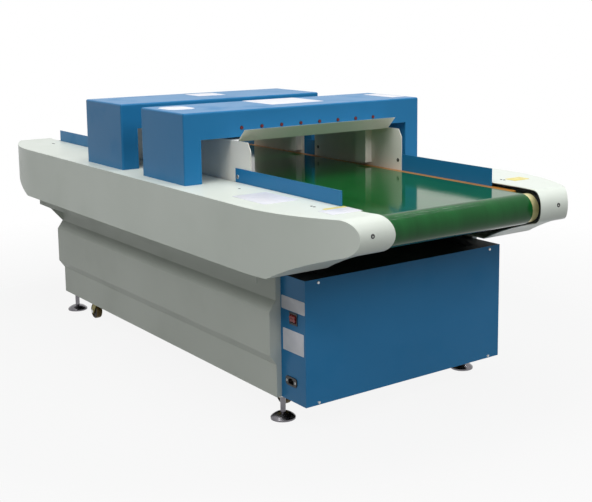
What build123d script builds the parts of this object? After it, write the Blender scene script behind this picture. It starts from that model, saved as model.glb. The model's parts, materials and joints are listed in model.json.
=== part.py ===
import os
from math import copysign, cos, radians, sin

from build123d import *

os.makedirs("parts", exist_ok=True)

# Driving dimensions in millimetres. +X runs along the belt, +Z is up, the floor is Z = 0.
# The operator's side with the mains switch is -Y.

# Sheets, fits and clearances
sheet = 2.0
running_clearance = 0.05
body_gap = 0.3
bolt_clearance = 0.5

# Belt line
belt_top = 640.0
belt_width = 536.0
belt_thickness = 2.0
roller_diameter = 86.0
roller_face_gap = 2.0
journal_diameter = 30.0
bed_thickness = 8.0
bed_end_gap = 12.0

# Tunnel plates, hoods and guide strips
tunnel_width = 600.0
tunnel_top = 778.0
tunnel_overhang = 108.0
tunnel_inner_overhang = 112.0
tunnel_plate_gap = 70.0
plate_chamfer_x = 16.0
plate_chamfer_z = 26.0
hood_setback = 72.0
hood_rise = 39.0
guide_height = 55.0
guide_setback_near = 192.0
guide_setback_far = 226.0
guide_setback_rear = 166.0
guide_overlap = 86.0
guide_margin = 1.0
side_block_length = 57.0
side_block_depth = 26.0
side_block_foot = 12.0

# Detector heads
head_depth = 278.0
head_width = 934.0
head_height = 219.5
head_opening_width = 816.0
head_opening_height = 135.5
head_edge_radius = 6.0
front_head_x = 236.0
rear_head_x = -186.0
rear_far_leg_width = 34.0
rear_far_leg_gap = 4.0
lamp_count = 8
lamp_pitch = 75.0
lamp_diameter = 10.0
lamp_stem_diameter = 6.0
lamp_proud = 3.0
lamp_height_above_opening = 28.0
sensor_height = 62.0
sensor_side_gap = 24.0
lower_sensor_height = 58.0

# Side housings
housing_length = 2262.0
housing_overhang = 71.0
housing_top = 650.0
housing_bottom = 468.0
housing_outer_width = 1030.0
nose_radius = 50.0
nose_lift_angle = 14.0
nose_inner_width = 540.0
nose_outer_width = 770.0
bow_length = 366.0
bow_inner_length = 104.0
front_kink_setback = 259.0
rear_kink_setback = 331.0
bow_run_out = 6.0

# Conveyor beams
beam_sheet = 3.0
beam_flange_clearance = 8.0
beam_flat_past_support = 60.0
tie_bar_size = 30.0
tie_bar_pitch = 347.0
tie_bar_count = 4
tie_bar_lift = 5.0
web_slot_length = 70.0
web_slot_height = 18.0
web_slot_pitch = 170.0

# Bearings, take-up and return rollers
bearing_flange = 70.0
bearing_flange_thickness = 12.0
bearing_boss_diameter = 56.0
bearing_boss_length = 20.0
journal_stub = 5.0
take_up_slot = 24.0
take_up_screw_diameter = 10.0
take_up_screw_length = 100.0
take_up_lug_length = 10.0
take_up_lug_setback = 62.0
take_up_lug_size = 24.0
return_roller_diameter = 40.0
return_roller_x = 380.0
return_axle_diameter = 12.0

# Chain drive
motor_x = -685.0
motor_z = 515.0
gearbox_size = 66.0
gearbox_length = 70.0
motor_diameter = 62.0
motor_length = 170.0
motor_shaft_diameter = 16.0
motor_shaft_seat = 40.0
drive_teeth = 18
motor_teeth = 12
tooth_pitch = 9.525
tooth_radius = 2.6
sprocket_thickness = 6.0
sprocket_offset = 8.0
chain_height = 8.0
chain_width = 9.0

# Base cabinet
base_front = 869.0
base_rear = -756.0
base_width = 754.0
base_bottom = 77.0
base_top = 440.0
frame_lift = 3.0
angle_leg = 36.0
angle_thickness = 4.0
front_return = 120.0
panel_depth = 19.0
panel_band_depth = 22.0
panel_band_bottom = 205.0
panel_band_top = 332.0
panel_bevel = 31.0
panel_top = 456.0
support_inset = 164.0
support_length = 150.0
support_taper = 46.0
cover_screw_diameter = 9.0
cover_screw_inset_y = 45.0
cover_screw_inset_top = 10.0
cover_screw_inset_bottom = 7.0
cover_screw_proud = 2.5
electronics_length = 320.0
electronics_width = 240.0
electronics_height = 180.0
electronics_x = -355.0

# Mains switch and inlet on the near return of the front cover
switch_setback = 56.0
switch_z = 321.5
switch_width = 28.0
switch_height = 25.0
switch_rim = 3.0
switch_rim_proud = 2.0
switch_body_depth = 22.0
rocker_pivot_depth = 4.0
rocker_tilt = 8.0
rocker_pin_diameter = 3.0
rocker_dish = 9.0
inlet_setback = 69.0
inlet_z = 136.0
inlet_width = 54.0
inlet_height = 26.0
inlet_flange = 3.0
inlet_body_width = 32.0
inlet_body_height = 22.0
inlet_body_depth = 26.0
inlet_socket_width = 25.0
inlet_socket_height = 17.0
inlet_socket_depth = 16.0
inlet_pin_pitch = 7.0
inlet_pin_length = 11.0

# Levelling feet and casters
foot_front_inset = 145.0
foot_rear_inset = 23.0
foot_disc_diameter = 74.0
foot_disc_rim = 5.0
foot_disc_height = 20.0
foot_stud_diameter = 16.0
foot_stud_above_frame = 34.0
foot_nut_width = 24.0
foot_nut_height = 13.0
caster_front_inset = 205.0
caster_front_inset_y = 60.0
caster_rear_inset = 225.0
caster_wheel_diameter = 58.0
caster_wheel_width = 24.0
caster_lift = 6.0
caster_trail = 22.0
caster_plate_length = 60.0
caster_plate_thickness = 3.0
caster_crown_diameter = 42.0
caster_crown_thickness = 4.0
caster_leg_thickness = 3.0
caster_leg_gap = 1.5
caster_kingpin_diameter = 12.0
caster_kingpin_head = 3.0
caster_axle_diameter = 8.0
caster_axle_head = 3.0
caster_leg_top = 26.0
caster_dish_diameter = 40.0
caster_hub_diameter = 21.0

# Places worked out from the sizes above
roller_r = roller_diameter / 2
belt_inner_r = roller_r + body_gap
belt_outer_r = belt_inner_r + belt_thickness
housing_end = housing_length / 2
roller_x = housing_end - housing_overhang
roller_span = 2 * roller_x
roller_z = belt_top - belt_outer_r
bed_top = belt_top - belt_thickness
bed_bottom = bed_top - bed_thickness
bed_end = roller_x - belt_outer_r - bed_end_gap

plate_outer = tunnel_width / 2
plate_inner = plate_outer - sheet
guide_outer = plate_outer + sheet
web_outer = guide_outer + guide_margin
web_inner = web_outer - beam_sheet
flange_edge = belt_width / 2 + beam_flange_clearance
roller_end = web_inner - roller_face_gap
journal_r = journal_diameter / 2
bearing_end = web_outer + bearing_flange_thickness + bearing_boss_length
beam_bottom = housing_bottom + sheet
beam_end_r = bed_bottom - roller_z

head_bottom = housing_top
head_top = head_bottom + head_height
head_soffit = head_bottom + head_opening_height
leg_inner = head_opening_width / 2
head_end = head_width / 2
rear_far_leg_inner = guide_outer + rear_far_leg_gap
rear_far_end = rear_far_leg_inner + rear_far_leg_width

frame_bottom = base_bottom + frame_lift
frame_top = base_top - sheet
frame_half = base_width / 2 - sheet
frame_front = base_front - sheet
frame_rear = base_rear + sheet
cover_face = base_width / 2
front_support_x = base_front - support_inset
rear_support_x = base_rear + support_inset
beam_taper_x = front_support_x + beam_flat_past_support
switch_x = base_front - switch_setback
inlet_x = base_front - inlet_setback
foot_front_x = base_front - foot_front_inset
foot_rear_x = base_rear + foot_rear_inset
caster_front_x = base_front - caster_front_inset
caster_rear_x = base_rear + caster_rear_inset
foot_y = frame_half - angle_leg / 2
caster_front_y = foot_y - caster_front_inset_y
nose_x = housing_end - nose_radius
nose_z = housing_top - nose_radius
bow_start_x = housing_end - bow_length
bow_inner_start_x = housing_end - bow_inner_length
front_kink_x = housing_end - front_kink_setback
rear_kink_x = housing_end - rear_kink_setback


def finish(piece, name):
    """Name a piece and write it out."""
    piece.part.label = name
    export_step(piece.part, f"parts/{name}.step")


def box_between(low, high, mode=Mode.ADD):
    """A box given by its lowest and highest corners."""
    size = [b - a for a, b in zip(low, high)]
    centre = tuple((a + b) / 2 for a, b in zip(low, high))
    with Locations(centre):
        Box(*size, mode=mode)


def rod_y(x, z, radius, y_from, y_to, mode=Mode.ADD):
    """A round bar across the machine."""
    with BuildSketch(Plane.XZ.offset(-y_from)) as section:
        with Locations((x, z)):
            Circle(radius)
    extrude(section.sketch, amount=y_from - y_to, mode=mode)


# Base frame: twelve lengths of angle iron welded into a box, with cross bars under what it carries
frame_window_x = (frame_rear + angle_leg, frame_front - angle_leg)
frame_window_y = (angle_leg - frame_half, frame_half - angle_leg)
frame_window_z = (frame_bottom + angle_leg, frame_top - angle_leg)
with BuildPart() as base_frame:
    box_between((frame_rear, -frame_half, frame_bottom), (frame_front, frame_half, frame_top))
    box_between(
        (frame_rear + angle_thickness, angle_thickness - frame_half, frame_bottom + angle_thickness),
        (frame_front - angle_thickness, frame_half - angle_thickness, frame_top - angle_thickness),
        mode=Mode.SUBTRACT,
    )
    windows = (
        ((frame_rear, frame_front), frame_window_y, frame_window_z),
        (frame_window_x, (-frame_half, frame_half), frame_window_z),
        (frame_window_x, frame_window_y, (frame_bottom, frame_top)),
    )
    for window_x, window_y, window_z in windows:
        box_between(
            (window_x[0], window_y[0], window_z[0]),
            (window_x[1], window_y[1], window_z[1]),
            mode=Mode.SUBTRACT,
        )
    for bar_x in (rear_support_x, front_support_x):
        box_between(
            (bar_x - angle_leg / 2, angle_thickness - frame_half, frame_top - angle_leg),
            (bar_x + angle_leg / 2, frame_half - angle_thickness, frame_top),
        )
    for end in (-1, 1):
        bar_x = electronics_x + end * electronics_length / 3
        box_between(
            (bar_x - angle_leg / 2, angle_thickness - frame_half, frame_bottom),
            (bar_x + angle_leg / 2, frame_half - angle_thickness, frame_bottom + angle_thickness),
        )
    with BuildSketch(Plane.XY.offset(frame_bottom)):
        for foot_x in (foot_front_x, foot_rear_x):
            with Locations((foot_x, -foot_y), (foot_x, foot_y)):
                Circle(foot_stud_diameter / 2 + bolt_clearance)
    extrude(amount=angle_thickness, mode=Mode.SUBTRACT)
finish(base_frame, "base_frame")

with BuildPart() as base_top_plate:
    box_between((base_rear, -frame_half, frame_top), (frame_front, frame_half, base_top))
finish(base_top_plate, "base_top_plate")

# Front cover: a sheet bent round the front of the base, with the switch and inlet cut into its near return
with BuildPart() as front_end_cover:
    box_between((base_front - front_return, -cover_face, base_bottom), (base_front, cover_face, base_top))
    box_between(
        (base_front - front_return, -frame_half, base_bottom),
        (frame_front, frame_half, base_top),
        mode=Mode.SUBTRACT,
    )
    cuts = (
        (switch_x, switch_z, switch_width + 2 * sheet, switch_height + 2 * sheet),
        (inlet_x, inlet_z, inlet_body_width, inlet_body_height),
    )
    for cut_x, cut_z, cut_width, cut_height in cuts:
        box_between(
            (cut_x - cut_width / 2, -cover_face, cut_z - cut_height / 2),
            (cut_x + cut_width / 2, -frame_half, cut_z + cut_height / 2),
            mode=Mode.SUBTRACT,
        )
finish(front_end_cover, "front_end_cover")

with BuildPart() as rear_end_cover:
    box_between((base_rear, -frame_half, base_bottom), (frame_rear, frame_half, frame_top))
finish(rear_end_cover, "rear_end_cover")

with BuildPart() as cover_screws:
    screw_heights = (base_top - cover_screw_inset_top, base_bottom + cover_screw_inset_bottom)
    for face_x, facing in ((base_front, 1), (base_rear, -1)):
        with BuildSketch(Plane.YZ.offset(face_x)):
            for screw_y in (cover_screw_inset_y - cover_face, cover_face - cover_screw_inset_y):
                with Locations(*[(screw_y, height) for height in screw_heights]):
                    Circle(cover_screw_diameter / 2)
        extrude(amount=facing * cover_screw_proud, taper=20)
finish(cover_screws, "cover_screws")

# Side panels: pressed pans with a raised band, folded back to the frame along every edge
panel_face = frame_half + panel_depth
band_face = panel_face + panel_band_depth


def panel_section(inset):
    """Outline of a side panel across its length, drawn in Y and Z."""
    outer = panel_face - inset
    band = band_face - inset
    with BuildLine() as outline:
        Polyline(
            (frame_half, base_bottom + inset),
            (outer, base_bottom + inset),
            (outer, panel_band_bottom - panel_bevel),
            (band, panel_band_bottom),
            (band, panel_band_top),
            (outer, panel_band_top + panel_bevel),
            (outer, panel_top - inset),
            (frame_half, panel_top - inset),
            close=True,
        )
    make_face(outline.edges())


panel_front = base_front - front_return
with BuildPart() as side_panel_far:
    with BuildSketch(Plane.YZ.offset(base_rear)):
        panel_section(0)
    extrude(amount=panel_front - base_rear)
    with BuildSketch(Plane.YZ.offset(base_rear + sheet)):
        panel_section(sheet)
    extrude(amount=panel_front - base_rear - 2 * sheet, mode=Mode.SUBTRACT)
finish(side_panel_far, "side_panel_far")

with BuildPart() as side_panel_near:
    mirror(side_panel_far.part, about=Plane.XZ)
finish(side_panel_near, "side_panel_near")

with BuildPart() as electronics_box:
    box_between(
        (electronics_x - electronics_length / 2, -electronics_width / 2, frame_bottom + angle_thickness),
        (
            electronics_x + electronics_length / 2,
            electronics_width / 2,
            frame_bottom + angle_thickness + electronics_height,
        ),
    )
    fillet(electronics_box.edges().filter_by(Axis.Z), radius=4 * sheet)
    offset(amount=-sheet, openings=electronics_box.faces().sort_by(Axis.Z)[0])
finish(electronics_box, "electronics_box")

# Mains switch: a black rim let into the cover and a rocker that tips on two pins
pivot_y = rocker_pivot_depth - cover_face
rim_width = switch_width + 2 * (sheet + switch_rim)
rim_height = switch_height + 2 * (sheet + switch_rim)
with BuildPart() as switch_bezel:
    box_between(
        (switch_x - rim_width / 2, -cover_face - switch_rim_proud, switch_z - rim_height / 2),
        (switch_x + rim_width / 2, -cover_face, switch_z + rim_height / 2),
    )
    box_between(
        (switch_x - switch_width / 2 - sheet, -cover_face, switch_z - switch_height / 2 - sheet),
        (
            switch_x + switch_width / 2 + sheet,
            switch_body_depth - cover_face,
            switch_z + switch_height / 2 + sheet,
        ),
    )
    box_between(
        (switch_x - switch_width / 2, -cover_face - switch_rim_proud, switch_z - switch_height / 2),
        (switch_x + switch_width / 2, switch_body_depth - sheet - cover_face, switch_z + switch_height / 2),
        mode=Mode.SUBTRACT,
    )
    with BuildSketch(Plane.YZ.offset(switch_x)):
        with Locations((pivot_y, switch_z)):
            Circle(rocker_pin_diameter / 2 + running_clearance)
    extrude(amount=switch_width / 2 + sheet, both=True, mode=Mode.SUBTRACT)
finish(switch_bezel, "switch_bezel")

rocker_r = switch_height / 2 - body_gap
tilt = radians(rocker_tilt)
rocker_plane = Plane(origin=(switch_x, pivot_y, switch_z), x_dir=(0, cos(tilt), sin(tilt)), z_dir=(1, 0, 0))
with BuildPart() as power_rocker:
    with BuildSketch(rocker_plane):
        Circle(rocker_r)
        with BuildLine():
            Polyline(
                (-rocker_dish, 0),
                (-rocker_r, rocker_r),
                (-2 * rocker_r, rocker_r),
                (-2 * rocker_r, -rocker_r),
                (-rocker_r, -rocker_r),
                close=True,
            )
        make_face(mode=Mode.SUBTRACT)
    extrude(amount=switch_width / 2 - body_gap, both=True)
    with BuildSketch(rocker_plane):
        Circle(rocker_pin_diameter / 2)
    extrude(amount=switch_width / 2 + sheet - body_gap, both=True)
finish(power_rocker, "power_rocker")

# Mains inlet: a flanged socket with three flat pins
with BuildPart() as power_inlet:
    with BuildSketch(Plane.XZ.offset(cover_face)):
        with Locations((inlet_x, inlet_z)):
            RectangleRounded(inlet_width, inlet_height, inlet_height / 3)
    extrude(amount=inlet_flange)
    with BuildSketch(Plane.XZ.offset(cover_face)):
        with Locations((inlet_x, inlet_z)):
            Rectangle(inlet_body_width, inlet_body_height)
    extrude(amount=-inlet_body_depth)
    with BuildSketch(Plane.XZ.offset(cover_face + inlet_flange)):
        with Locations((inlet_x, inlet_z)):
            Rectangle(inlet_socket_width, inlet_socket_height)
            chamfer(
                vertices().group_by(Axis.Y)[-1],
                length=inlet_socket_height / 3,
            )
    extrude(amount=-inlet_socket_depth, mode=Mode.SUBTRACT)
    with BuildSketch(Plane.XZ.offset(cover_face + inlet_flange - inlet_socket_depth)):
        with Locations((inlet_x, inlet_z)):
            with Locations((-inlet_pin_pitch, -sheet), (inlet_pin_pitch, -sheet), (0, sheet)):
                Rectangle(sheet, 2 * sheet)
    extrude(amount=inlet_pin_length)
finish(power_inlet, "power_inlet")

# Levelling feet: a domed disc on a stud, locked by a nut under the frame
foot_places = {
    "front_near": (foot_front_x, -foot_y),
    "front_far": (foot_front_x, foot_y),
    "rear_near": (foot_rear_x, -foot_y),
    "rear_far": (foot_rear_x, foot_y),
}
disc_r = foot_disc_diameter / 2
stud_r = foot_stud_diameter / 2
for place, (foot_x, side_y) in foot_places.items():
    with BuildPart() as levelling_foot:
        with BuildSketch(Plane(origin=(foot_x, side_y, 0), x_dir=(1, 0, 0), z_dir=(0, -1, 0))):
            with BuildLine():
                Line((0, 0), (disc_r, 0))
                Line((disc_r, 0), (disc_r, foot_disc_rim))
                ThreePointArc(
                    (disc_r, foot_disc_rim),
                    (
                        (disc_r + stud_r) / 2 + foot_disc_rim / 2,
                        (foot_disc_rim + foot_disc_height) / 2 + sheet,
                    ),
                    (stud_r, foot_disc_height),
                )
                Line((stud_r, foot_disc_height), (stud_r, frame_bottom + foot_stud_above_frame))
                Line(
                    (stud_r, frame_bottom + foot_stud_above_frame),
                    (0, frame_bottom + foot_stud_above_frame),
                )
                Line((0, frame_bottom + foot_stud_above_frame), (0, 0))
            make_face()
        revolve(axis=Axis((foot_x, side_y, 0), (0, 0, 1)))
    finish(levelling_foot, f"levelling_foot_{place}")

with BuildPart() as foot_lock_nuts:
    with BuildSketch(Plane.XY.offset(frame_bottom)):
        with Locations(*foot_places.values()):
            RegularPolygon(foot_nut_width / 2, 6, major_radius=False)
            Circle(stud_r + running_clearance, mode=Mode.SUBTRACT)
    extrude(amount=-foot_nut_height)
finish(foot_lock_nuts, "foot_lock_nuts")

# Casters: a plate and kingpin under the frame, a fork that swivels on it, a wheel on an axle bolt
caster_places = {
    "front_near": (caster_front_x, -caster_front_y),
    "front_far": (caster_front_x, caster_front_y),
    "rear_near": (caster_rear_x, -foot_y),
    "rear_far": (caster_rear_x, foot_y),
}
wheel_r = caster_wheel_diameter / 2
axle_z = caster_lift + wheel_r
axle_r = caster_axle_diameter / 2
kingpin_r = caster_kingpin_diameter / 2
crown_top = frame_bottom - caster_plate_thickness - body_gap
crown_bottom = crown_top - caster_crown_thickness
leg_inner_y = caster_wheel_width / 2 + caster_leg_gap
leg_outer_y = leg_inner_y + caster_leg_thickness

with BuildPart() as caster_plates:
    for x, y in caster_places.values():
        plate_y = sorted((copysign(abs(y) - angle_leg / 2, y), copysign(frame_half, y)))
        box_between(
            (x - caster_plate_length / 2, plate_y[0], frame_bottom - caster_plate_thickness),
            (x + caster_plate_length / 2, plate_y[1], frame_bottom),
        )
    with BuildSketch(Plane.XY.offset(frame_bottom - caster_plate_thickness)):
        with Locations(*caster_places.values()):
            Circle(kingpin_r)
    extrude(amount=-(caster_crown_thickness + 2 * body_gap + caster_kingpin_head))
    with BuildSketch(Plane.XY.offset(crown_bottom - body_gap)):
        with Locations(*caster_places.values()):
            Circle(kingpin_r + caster_kingpin_head)
    extrude(amount=-caster_kingpin_head)
finish(caster_plates, "caster_plates")

for place, (caster_x, side_y) in caster_places.items():
    wheel_x = caster_x - caster_trail
    with BuildPart() as caster_fork:
        with BuildSketch(Plane.XY.offset(crown_bottom)):
            with Locations((caster_x, side_y)):
                Circle(caster_crown_diameter / 2)
                Circle(kingpin_r + running_clearance, mode=Mode.SUBTRACT)
        extrude(amount=caster_crown_thickness)
        for leg_y in (side_y - leg_outer_y, side_y + leg_inner_y):
            with BuildSketch(Plane.XZ.offset(-leg_y)):
                with Locations((caster_x, crown_bottom + caster_crown_thickness / 4)):
                    Rectangle(caster_leg_top, caster_crown_thickness / 2)
                with Locations((wheel_x, axle_z)):
                    Circle(axle_r + 2 * caster_leg_thickness)
                make_hull()
                with Locations((wheel_x, axle_z)):
                    Circle(axle_r + running_clearance, mode=Mode.SUBTRACT)
            extrude(amount=-caster_leg_thickness)
    finish(caster_fork, f"caster_fork_{place}")

    with BuildPart() as caster_wheel:
        with BuildSketch(Plane.XZ.offset(-side_y)):
            with Locations((wheel_x, axle_z)):
                Circle(wheel_r)
                Circle(axle_r + running_clearance, mode=Mode.SUBTRACT)
        extrude(amount=caster_wheel_width / 2, both=True)
        rims = caster_wheel.edges().filter_by(GeomType.CIRCLE).group_by(SortBy.RADIUS)[-1]
        fillet(rims, radius=2 * caster_leg_thickness)
        for facing in (-1, 1):
            with BuildSketch(Plane.XZ.offset(facing * caster_wheel_width / 2 - side_y)):
                with Locations((wheel_x, axle_z)):
                    Circle(caster_dish_diameter / 2)
                    Circle(caster_hub_diameter / 2, mode=Mode.SUBTRACT)
            extrude(amount=-facing * caster_leg_thickness, mode=Mode.SUBTRACT)
    finish(caster_wheel, f"caster_wheel_{place}")

    with BuildPart() as caster_axle:
        rod_y(wheel_x, axle_z, axle_r, side_y - leg_outer_y, side_y + leg_outer_y)
        for facing in (-1, 1):
            head_from = side_y + facing * leg_outer_y
            head_to = head_from + facing * caster_axle_head
            rod_y(wheel_x, axle_z, axle_r + caster_axle_head, head_from, head_to)
    finish(caster_axle, f"caster_axle_{place}")

# Conveyor beams: folded channels with round ends, bored for the rollers and slotted to save weight
screw_bore_z = roller_z
lug_x = roller_x - bearing_flange / 2 - take_up_lug_setback
web_slot_z = (beam_bottom + bed_bottom) / 2
return_roller_r = return_roller_diameter / 2
return_axle_r = return_axle_diameter / 2
return_roller_z = roller_z - belt_outer_r - body_gap - return_roller_r

with BuildPart() as conveyor_beam_far:
    with BuildSketch(Plane.XZ.offset(-web_outer)):
        with BuildLine():
            Polyline(
                (-beam_taper_x, beam_bottom),
                (beam_taper_x, beam_bottom),
                (roller_x, roller_z - beam_end_r),
                (roller_x, bed_bottom),
                (-roller_x, bed_bottom),
                (-roller_x, roller_z - beam_end_r),
                close=True,
            )
        make_face()
        with Locations((-roller_x, roller_z), (roller_x, roller_z)):
            Circle(beam_end_r)
        with Locations((-roller_x, roller_z)):
            Circle(journal_r + bolt_clearance, mode=Mode.SUBTRACT)
        with Locations((roller_x, roller_z)):
            SlotCenterToCenter(take_up_slot, journal_diameter + 2 * bolt_clearance, mode=Mode.SUBTRACT)
        with Locations((-return_roller_x, return_roller_z), (return_roller_x, return_roller_z)):
            Circle(return_axle_r + running_clearance, mode=Mode.SUBTRACT)
        with Locations((motor_x, motor_z)):
            Circle(motor_shaft_diameter / 2 + bolt_clearance, mode=Mode.SUBTRACT)
        with Locations((roller_x - web_slot_pitch, web_slot_z), (-roller_x + web_slot_pitch, web_slot_z)):
            SlotOverall(web_slot_length, web_slot_height, mode=Mode.SUBTRACT)
    extrude(amount=beam_sheet)
    box_between((-bed_end, flange_edge, bed_bottom - beam_sheet), (bed_end, web_inner, bed_bottom))
    box_between(
        (-beam_taper_x, flange_edge, beam_bottom),
        (beam_taper_x, web_inner, beam_bottom + beam_sheet),
    )
    box_between(
        (lug_x - take_up_lug_length / 2, web_outer, screw_bore_z - take_up_lug_size / 2),
        (lug_x + take_up_lug_length / 2, web_outer + take_up_lug_size, screw_bore_z + take_up_lug_size / 2),
    )
    with BuildSketch(Plane.YZ.offset(lug_x)):
        with Locations((web_outer + bearing_flange_thickness, screw_bore_z)):
            Circle(take_up_screw_diameter / 2 + running_clearance)
    extrude(amount=take_up_lug_length / 2, both=True, mode=Mode.SUBTRACT)
finish(conveyor_beam_far, "conveyor_beam_far")

with BuildPart() as conveyor_beam_near:
    mirror(conveyor_beam_far.part, about=Plane.XZ)
finish(conveyor_beam_near, "conveyor_beam_near")

with BuildPart() as tie_bars:
    bar_z = beam_bottom + beam_sheet + tie_bar_lift + tie_bar_size / 2
    with Locations((0, 0, bar_z)):
        with GridLocations(tie_bar_pitch, 0, tie_bar_count, 1):
            Box(tie_bar_size, 2 * web_inner, tie_bar_size)
finish(tie_bars, "tie_bars")

with BuildPart() as conveyor_supports:
    for end, reach in ((-1, -rear_support_x), (1, front_support_x)):
        for side_y in (-web_outer, flange_edge):
            with BuildSketch(Plane.XZ.offset(-side_y)):
                with BuildLine():
                    Polyline(
                        (end * (reach - support_length / 2), base_top),
                        (end * (reach + support_length / 2 + support_taper), base_top),
                        (end * (reach + support_length / 2), (base_top + beam_bottom) / 2),
                        (end * min(reach + support_length / 2, beam_taper_x), beam_bottom),
                        (end * (reach - support_length / 2), beam_bottom),
                        close=True,
                    )
                make_face()
            extrude(amount=flange_edge - web_outer)
finish(conveyor_supports, "conveyor_supports")

with BuildPart() as slider_bed:
    box_between((-bed_end, -web_outer, bed_bottom), (bed_end, web_outer, bed_top))
    chamfer(slider_bed.edges().filter_by(Axis.Y).group_by(Axis.Z)[-1], length=bed_thickness / 4)
finish(slider_bed, "slider_bed")

with BuildPart() as conveyor_belt:
    with BuildSketch(Plane.XZ):
        with Locations((0, roller_z)):
            SlotCenterToCenter(roller_span, 2 * belt_outer_r)
            SlotCenterToCenter(roller_span, 2 * belt_inner_r, mode=Mode.SUBTRACT)
    extrude(amount=belt_width / 2, both=True)
finish(conveyor_belt, "conveyor_belt")

# End rollers with their journals, and the flanged bearings that carry them
sprocket_y = bearing_end + sprocket_offset
drive_journal_end = sprocket_y + sprocket_thickness + sprocket_offset
for name, end_x, far_end in (
    ("drive_roller", -roller_x, drive_journal_end),
    ("idler_roller", roller_x, bearing_end + journal_stub),
):
    with BuildPart() as end_roller:
        rod_y(end_x, roller_z, roller_r, -roller_end, roller_end)
        rod_y(end_x, roller_z, journal_r, -bearing_end - journal_stub, far_end)
        drum_rims = end_roller.edges().filter_by(GeomType.CIRCLE).group_by(SortBy.RADIUS)[-1]
        chamfer(drum_rims, length=sheet)
    finish(end_roller, name)

for name, end_x in (("drive_bearings", -roller_x), ("idler_bearings", roller_x)):
    with BuildPart() as bearings:
        for facing in (-1, 1):
            flange_y = facing * (web_outer + bearing_flange_thickness / 2)
            with Locations((end_x, flange_y, roller_z)):
                Box(bearing_flange, bearing_flange_thickness, bearing_flange)
            rod_y(end_x, roller_z, bearing_boss_diameter / 2, facing * web_outer, facing * bearing_end)
        rod_y(end_x, roller_z, journal_r + running_clearance, -bearing_end, bearing_end, mode=Mode.SUBTRACT)
    finish(bearings, name)

with BuildPart() as take_up_screws:
    screw_from = roller_x - bearing_flange / 2
    for facing in (-1, 1):
        screw_y = facing * (web_outer + bearing_flange_thickness)
        with BuildSketch(Plane.YZ.offset(screw_from)):
            with Locations((screw_y, screw_bore_z)):
                Circle(take_up_screw_diameter / 2)
        extrude(amount=-take_up_screw_length)
        with BuildSketch(Plane.YZ.offset(screw_from - take_up_screw_length)):
            with Locations((screw_y, screw_bore_z)):
                RegularPolygon(take_up_screw_diameter, 6)
        extrude(amount=-take_up_screw_diameter / 2)
finish(take_up_screws, "take_up_screws")

for name, place_x in (("return_roller_front", return_roller_x), ("return_roller_rear", -return_roller_x)):
    with BuildPart() as return_roller:
        rod_y(place_x, return_roller_z, return_roller_r, -belt_width / 2, belt_width / 2)
        rod_y(place_x, return_roller_z, return_axle_r, -web_outer, web_outer)
    finish(return_roller, name)

# Chain drive: a gearmotor across the conveyor, two sprockets and the chain round them
drive_pitch_r = tooth_pitch / (2 * sin(radians(180 / drive_teeth)))
motor_pitch_r = tooth_pitch / (2 * sin(radians(180 / motor_teeth)))
motor_shaft_r = motor_shaft_diameter / 2

with BuildPart() as gearmotor:
    with Locations((motor_x, web_inner - gearbox_length / 2, motor_z)):
        Box(gearbox_size, gearbox_length, gearbox_size)
    fillet(gearmotor.edges().filter_by(Axis.Y), radius=gearbox_size / 8)
    motor_y = web_inner - gearbox_length
    rod_y(motor_x, motor_z, motor_diameter / 2, motor_y - motor_length, motor_y)
    rod_y(
        motor_x,
        motor_z,
        motor_shaft_r + running_clearance,
        web_inner - motor_shaft_seat,
        web_inner,
        mode=Mode.SUBTRACT,
    )
finish(gearmotor, "gearmotor")


def sprocket_outline(x, z, teeth, pitch_r, bore_r):
    """A toothed disc drawn in X and Z."""
    with Locations((x, z)):
        Circle(pitch_r - tooth_radius)
        with PolarLocations(pitch_r - tooth_radius, teeth):
            Circle(tooth_radius)
        if bore_r > 0:
            Circle(bore_r, mode=Mode.SUBTRACT)


with BuildPart() as motor_sprocket:
    with BuildSketch(Plane.XZ.offset(-sprocket_y)):
        sprocket_outline(motor_x, motor_z, motor_teeth, motor_pitch_r, 0)
    extrude(amount=-sprocket_thickness)
    rod_y(motor_x, motor_z, motor_shaft_r, web_inner - motor_shaft_seat + body_gap, drive_journal_end)
finish(motor_sprocket, "motor_sprocket")

with BuildPart() as drive_sprocket:
    with BuildSketch(Plane.XZ.offset(-sprocket_y)):
        sprocket_outline(-roller_x, roller_z, drive_teeth, drive_pitch_r, journal_r + running_clearance)
    extrude(amount=-sprocket_thickness)
finish(drive_sprocket, "drive_sprocket")

with BuildPart() as drive_chain:
    chain_y = sprocket_y + sprocket_thickness / 2
    for height, mode in ((chain_height, Mode.ADD), (0, Mode.SUBTRACT)):
        with BuildSketch(Plane.XZ.offset(-chain_y)):
            with Locations((-roller_x, roller_z)):
                Circle(drive_pitch_r + body_gap + height)
            with Locations((motor_x, motor_z)):
                Circle(motor_pitch_r + body_gap + height)
            make_hull()
        extrude(amount=chain_width / 2, both=True, mode=mode)
finish(drive_chain, "drive_chain")


# Side housings: the hardest form. A side outline with round noses crossed with a plan that bows in
# towards both noses, hollowed to sheet and left open along the belt.
def side_outline():
    """Flat top and bottom, round noses, and undersides that bulge on their way up to the noses."""
    lift = radians(nose_lift_angle)
    for end, kink_x in ((-1, rear_kink_x), (1, front_kink_x)):
        nose_low = (end * (nose_x + nose_radius * sin(lift)), nose_z - nose_radius * cos(lift))
        with BuildLine() as half:
            Line((0, housing_top), (end * nose_x, housing_top))
            ThreePointArc((end * nose_x, housing_top), (end * (nose_x + nose_radius), nose_z), nose_low)
            TangentArc(nose_low, (end * kink_x, housing_bottom), tangent=(-end * cos(lift), -sin(lift)))
            Line((end * kink_x, housing_bottom), (0, housing_bottom))
            Line((0, housing_bottom), (0, housing_top))
        make_face(half.edges())


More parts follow.
